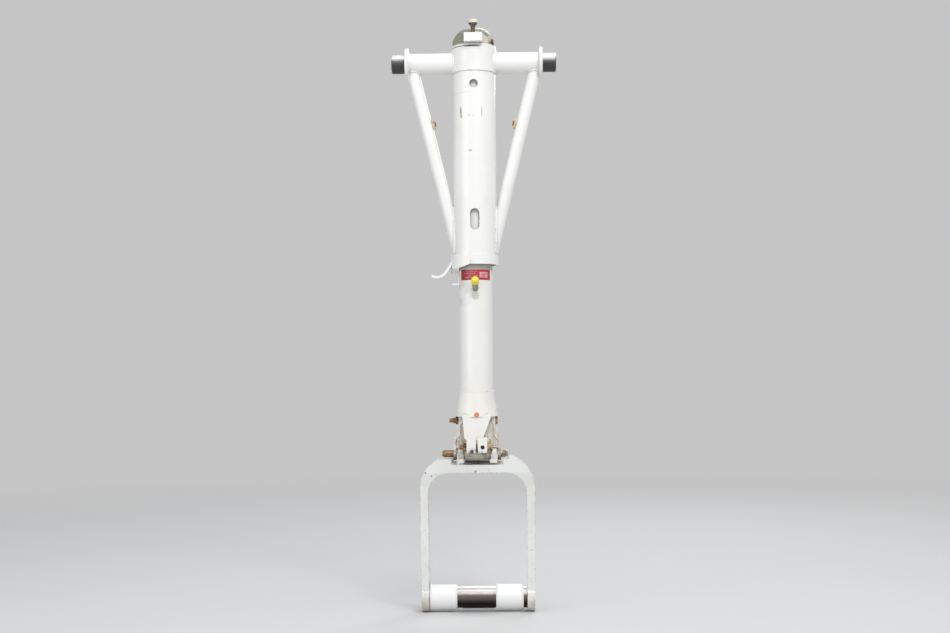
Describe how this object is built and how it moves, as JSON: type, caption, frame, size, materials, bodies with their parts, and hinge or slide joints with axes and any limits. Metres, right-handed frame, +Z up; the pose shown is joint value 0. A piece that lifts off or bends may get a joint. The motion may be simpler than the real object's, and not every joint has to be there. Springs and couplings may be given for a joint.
{
  "type": "nose landing gear strut",
  "caption": "White nose landing gear leg: braced trunnion housing, steerable spindle inside it, and a swinging wheel fork with axle and loose spacers.",
  "frame": {"origin": "the point where the trunnion axis crosses the axis of the leg", "axes": "+Z up the leg, +X along the trunnions towards the right when seen from the front, -Y to the front"},
  "size_m": [0.25, 0.0954, 0.8861],
  "materials": {
    "white_paint": "gloss",
    "foot_paint": "gloss",
    "fork_paint": "satin",
    "spacer_paint": "satin",
    "dark_steel": "satin",
    "worn_steel": "satin",
    "rusty_steel": "matte",
    "plated_steel": "satin",
    "bolt_steel": "satin",
    "bronze": "satin",
    "seal_rubber": "matte",
    "placard_red": "satin",
    "cap_yellow": "gloss",
    "plug_orange": "gloss"
  },
  "bodies": {
    "housing": {"outer_tube": "white_paint", "upper_sleeve": "white_paint", "bearing_ring": "white_paint", "upper_bush": "bronze", "lower_bush": "bronze", "dust_seal": "seal_rubber", "cross_tube_left": "white_paint", "cross_tube_right": "white_paint", "trunnion_flange_left": "white_paint", "trunnion_flange_right": "white_paint", "trunnion_pin_left": "dark_steel", "trunnion_pin_right": "dark_steel", "brace_left": "white_paint", "brace_right": "white_paint", "brace_lugs": "white_paint", "lug_screws": "rusty_steel", "link_arm": "white_paint"},
    "spindle": {"spindle_tube": "white_paint", "spindle_plug": "plated_steel", "thrust_washer": "plated_steel", "thrust_collar": "plated_steel", "steering_collar": "plated_steel", "steering_lug": "white_paint", "steering_bolt": "bolt_steel", "collar_bolt": "rusty_steel", "collar_nut": "rusty_steel", "limit_placard": "placard_red", "side_clevis": "white_paint", "grease_fitting": "plated_steel", "shock_bracket": "white_paint", "spindle_foot": "foot_paint", "foot_plug": "plug_orange", "clamp_nipple": "rusty_steel", "foot_bolt": "rusty_steel", "foot_nut": "rusty_steel", "clamp_bolt": "rusty_steel", "clamp_nut": "rusty_steel", "side_plate_left": "foot_paint", "side_plate_right": "foot_paint", "pivot_barrel": "worn_steel", "pivot_pin": "worn_steel", "inner_washers": "worn_steel", "outer_washers": "worn_steel"},
    "fork": {"fork": "fork_paint", "fork_bushes": "bronze", "axle": "dark_steel", "axle_plugs": "dark_steel", "axle_lock_pins": "rusty_steel", "centre_sleeve": "dark_steel"},
    "spacer_left": {"spacer_left": "spacer_paint"},
    "spacer_right": {"spacer_right": "spacer_paint"},
    "grease_cap": {"grease_cap": "cap_yellow"}
  },
  "joints": [
    {"name": "steering", "type": "hinge", "parent": "housing", "child": "spindle", "pos_m": [0, 0, 0], "axis": [0, 0, 1], "range_deg": [-15, 15]},
    {"name": "fork_swing", "type": "hinge", "parent": "spindle", "child": "fork", "pos_m": [0, 0, -0.5924], "axis": [1, 0, 0], "range_deg": [-8, 45]},
    {"name": "left_spacer_slide", "type": "slide", "parent": "fork", "child": "spacer_left", "axis": [1, 0, 0], "range_m": [0, 0.0075]},
    {"name": "right_spacer_slide", "type": "slide", "parent": "fork", "child": "spacer_right", "axis": [1, 0, 0], "range_m": [-0.0022, 0.0052]},
    {"name": "grease_cap_pull", "type": "slide", "parent": "spindle", "child": "grease_cap", "axis": [0, -0.8415, 0.5402], "range_m": [0, 0.012]}
  ]
}
